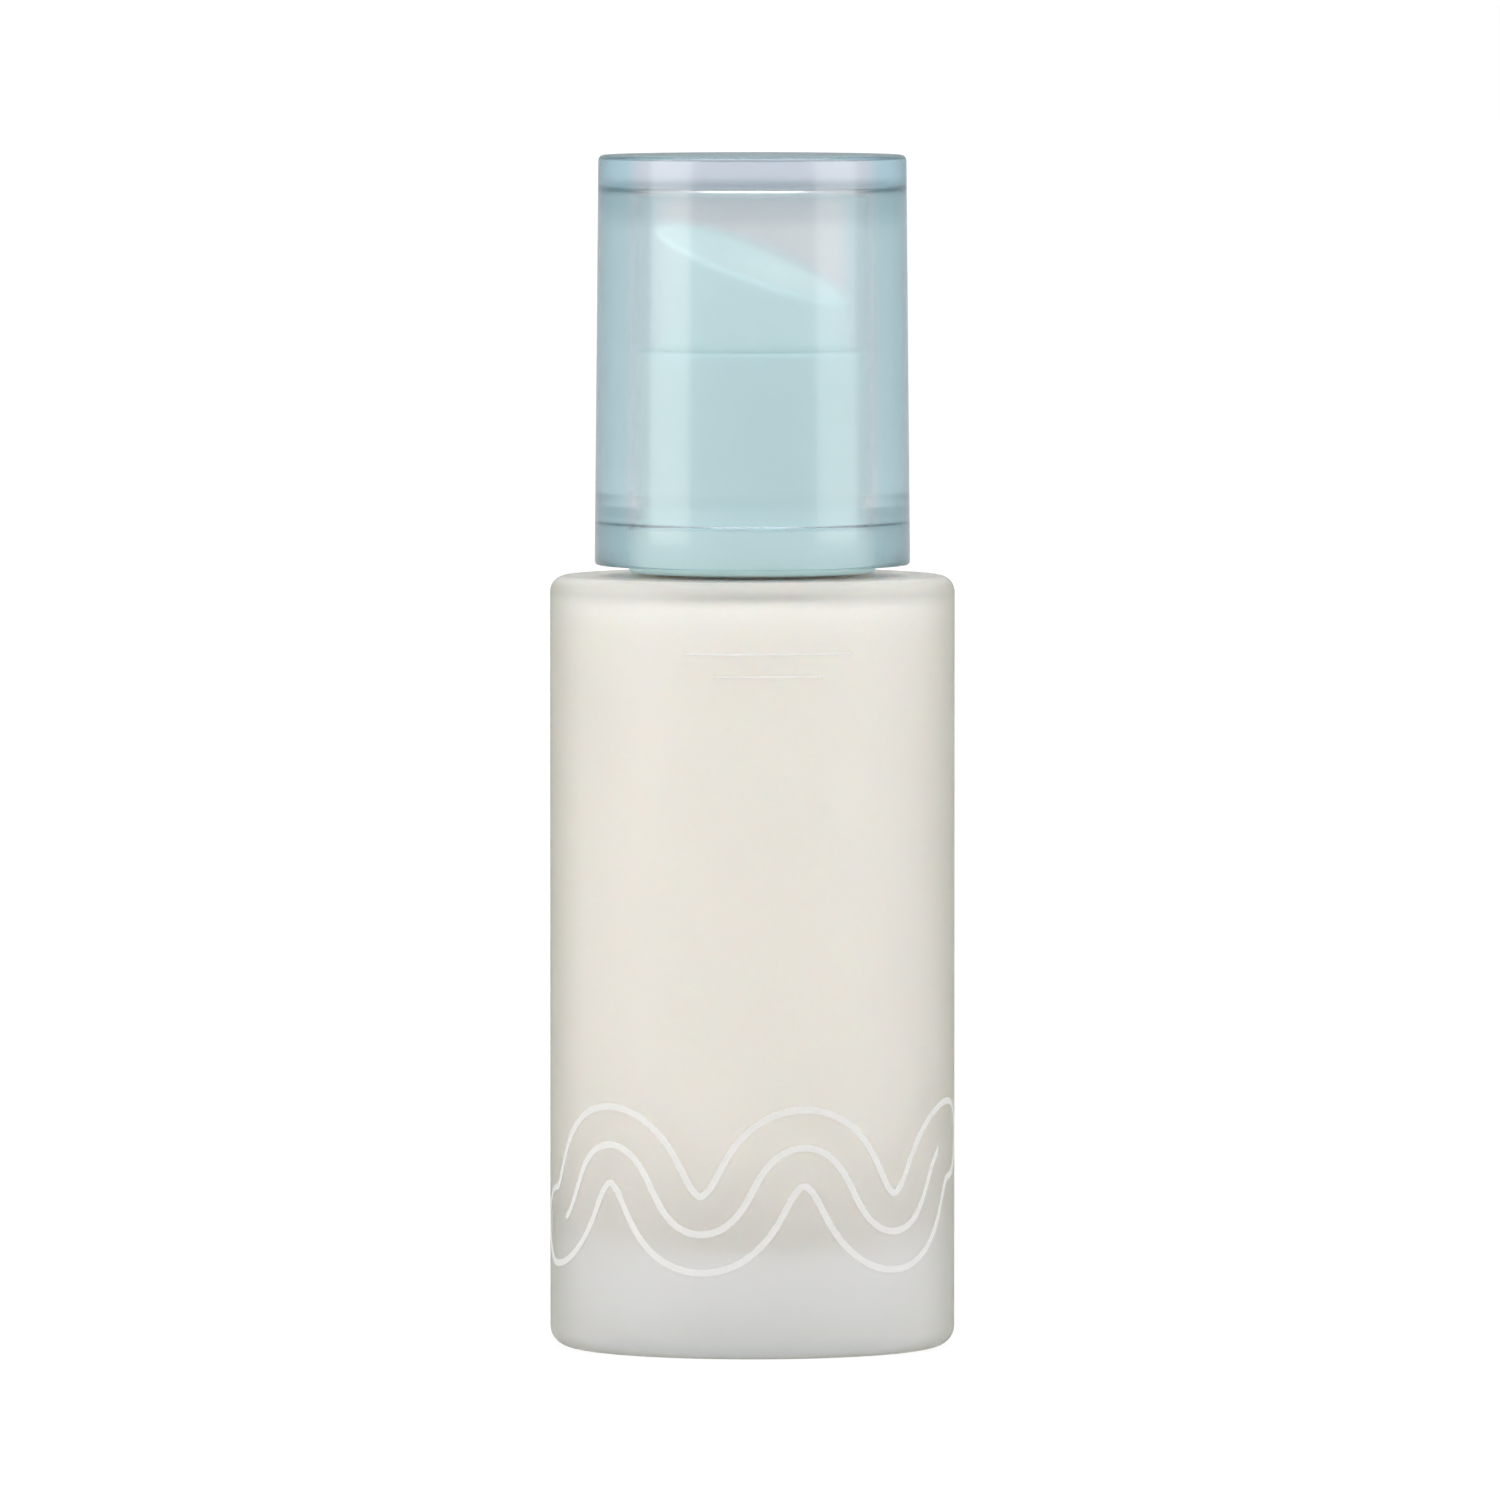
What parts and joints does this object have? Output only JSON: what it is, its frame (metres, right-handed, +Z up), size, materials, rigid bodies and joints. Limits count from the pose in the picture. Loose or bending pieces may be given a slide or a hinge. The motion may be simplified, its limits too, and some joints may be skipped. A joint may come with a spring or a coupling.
{
  "type": "foundation bottle",
  "caption": "Cylindrical frosted glass bottle of cream foundation with a screw-on treatment pump under a thick, clear, pale aqua overcap.",
  "frame": {"origin": "centre of the circle that the bottle stands on", "axes": "+Z up along the bottle's axis, -Y towards the decorated front, +X to the right seen from the front"},
  "size_m": [0.034, 0.034, 0.1001],
  "materials": {
    "frosted_glass": "acid-frosted outside, smooth inside",
    "foundation": "creamy opaque fluid, satin where it wets the glass",
    "clear_aqua": "clear moulded styrene-acrylonitrile tinted pale aqua, polished",
    "aqua_plastic": "semi-gloss moulded polypropylene, pale aqua",
    "natural_plastic": "natural milky polypropylene",
    "soft_plastic": "soft low-density polyethylene",
    "gasket_foam": "closed-cell foam sheet",
    "spring_steel": "drawn stainless wire and polished ball"
  },
  "bodies": {
    "bottle": {"glass_bottle": "frosted_glass", "foundation_fill": "foundation"},
    "pump_engine": {"pump_housing": "natural_plastic", "neck_gasket": "gasket_foam", "stem_guide": "natural_plastic", "ball_cage": "natural_plastic", "dip_tube": "natural_plastic", "return_spring": "spring_steel"},
    "closure": {"screw_closure": "natural_plastic", "collar_sleeve": "aqua_plastic"},
    "plunger": {"pump_stem": "natural_plastic", "valve_rod": "natural_plastic"},
    "piston": {"piston": "soft_plastic"},
    "button": {"button_shell": "aqua_plastic", "button_core": "natural_plastic", "nozzle_insert": "natural_plastic"},
    "inlet_ball": {"inlet_ball": "spring_steel"},
    "overcap": {"overcap": "clear_aqua"}
  },
  "joints": [
    {"name": "overcap_pull", "type": "slide", "parent": "closure", "child": "overcap", "axis": [0, 0, 1], "range_m": [0, 0.045]},
    {"name": "closure_turn", "type": "hinge", "parent": "pump_engine", "child": "closure", "pos_m": [0, 0, 0.0648], "axis": [0, 0, 1], "range_deg": [0, 541]},
    {"name": "pump_lift", "type": "slide", "parent": "bottle", "child": "pump_engine", "axis": [0, 0, 1], "range_m": [0, 0.00476]},
    {"name": "pump_press", "type": "slide", "parent": "pump_engine", "child": "plunger", "axis": [0, 0, -1], "range_m": [0, 0.0035], "stiffness_N_per_m": 1200, "springref_m": -0.003, "deforming": ["return_spring"]},
    {"name": "piston_slip", "type": "slide", "parent": "plunger", "child": "piston", "axis": [0, 0, 1], "range_m": [0, 0.0006]},
    {"name": "button_swivel", "type": "hinge", "parent": "plunger", "child": "button", "pos_m": [0, 0, 0.085], "axis": [0, 0, 1], "continuous": true},
    {"name": "ball_lift", "type": "slide", "parent": "pump_engine", "child": "inlet_ball", "axis": [0, 0, 1], "range_m": [0, 0.0008]}
  ],
  "couplings": [
    {"joint": "closure_turn", "follows": "pump_lift", "rad_per_m": 1979}
  ]
}
